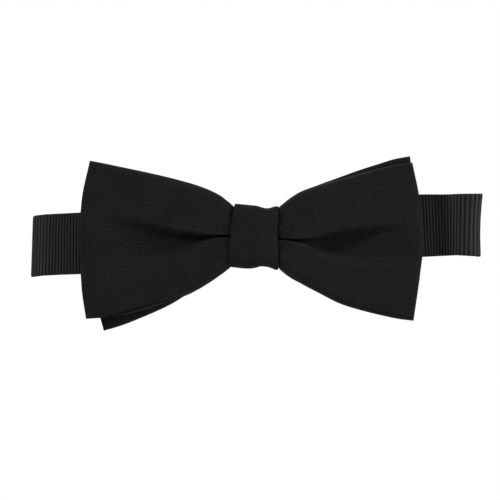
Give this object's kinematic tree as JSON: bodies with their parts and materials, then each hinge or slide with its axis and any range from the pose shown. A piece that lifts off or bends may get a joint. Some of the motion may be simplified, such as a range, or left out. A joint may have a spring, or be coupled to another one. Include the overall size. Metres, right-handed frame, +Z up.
{
  "type": "bow tie",
  "caption": "Pre-tied double-layer bow tie with a wrapped knot on a ribbed ribbon neckband with keeper, slider, hook and eye ring.",
  "frame": {"origin": "on the inner face of the neckband's front run, straight behind the middle of the knot, where the collar holds it", "axes": "+X to the right of someone facing the bow, -Y out of the bow's front, +Y towards the neck, +Z up"},
  "size_m": [0.1624, 0.0295, 0.0629],
  "materials": {
    "bow_fabric": "matte black plain-weave cloth",
    "band_ribbon": "black grosgrain, ribs across the ribbon",
    "thread": "black sewing thread",
    "interlining": "undyed woven interlining",
    "hardware_metal": "nickel-plated steel"
  },
  "bodies": {
    "neckband": {"neckband_front": "band_ribbon", "neckband_left_bend": "band_ribbon", "neckband_right_bend": "band_ribbon"},
    "keeper": {"keeper": "band_ribbon", "keeper_tack": "thread", "keeper_seam_stitches": "thread"},
    "bow": {"front_bow_shell": "bow_fabric", "front_bow_interlining": "interlining", "rear_bow_shell": "bow_fabric", "rear_bow_interlining": "interlining", "gathering_thread": "thread", "knot_wrap": "bow_fabric", "knot_interlining": "interlining", "knot_seam_stitches": "thread"},
    "eye_arm": {"neckband_eye_arm": "band_ribbon", "eye_ribbon_fold": "band_ribbon", "eye_tack_stitches": "thread"},
    "eye_ring": {"eye_ring": "hardware_metal"},
    "hook_arm": {"neckband_hook_arm": "band_ribbon", "strap_outer_layer": "band_ribbon"},
    "hook_end": {"hook_ribbon_turn": "band_ribbon", "strap_return_layer": "band_ribbon"},
    "hook": {"hook": "hardware_metal"},
    "slider": {"slider": "hardware_metal", "slider_ribbon_fold": "band_ribbon", "slider_tack_stitches": "thread"}
  },
  "joints": [
    {"name": "bow_slide", "type": "slide", "parent": "neckband", "child": "keeper", "axis": [0.9988, 0, 0.0494], "range_m": [-0.003, 0.003]},
    {"name": "bow_tilt", "type": "hinge", "parent": "keeper", "child": "bow", "pos_m": [0, -0.002, 0.0006], "axis": [0, 1, 0], "range_deg": [-8, 8]},
    {"name": "eye_arm_open", "type": "hinge", "parent": "neckband", "child": "eye_arm", "pos_m": [-0.0803, 0.0056, -0.00337], "axis": [-0.0494, 0, 0.9988], "range_deg": [0, 110], "deforming": ["neckband_left_bend"]},
    {"name": "eye_ring_swing", "type": "hinge", "parent": "eye_arm", "child": "eye_ring", "pos_m": [-0.02397, 0.0103, -0.00058], "axis": [-0.0494, 0, 0.9988], "range_deg": [-35, 35]},
    {"name": "hook_arm_open", "type": "hinge", "parent": "neckband", "child": "hook_arm", "pos_m": [0.0803, 0.0056, 0.00457], "axis": [0.0494, 0, -0.9988], "range_deg": [0, 110], "deforming": ["neckband_right_bend"]},
    {"name": "hook_travel", "type": "slide", "parent": "hook_arm", "child": "hook_end", "axis": [0.9988, 0, 0.0494], "range_m": [0, 0.014], "deforming": ["strap_outer_layer"]},
    {"name": "hook_swing", "type": "hinge", "parent": "hook_end", "child": "hook", "pos_m": [0.01798, 0.0103, 0.00149], "axis": [-0.0494, 0, 0.9988], "range_deg": [-30, 30]},
    {"name": "slider_adjust", "type": "slide", "parent": "hook_end", "child": "slider", "axis": [0.9988, 0, 0.0494], "range_m": [0, 0.014], "deforming": ["strap_return_layer"]}
  ],
  "couplings": [
    {"joint": "hook_travel", "follows": "slider_adjust", "ratio": 1}
  ]
}
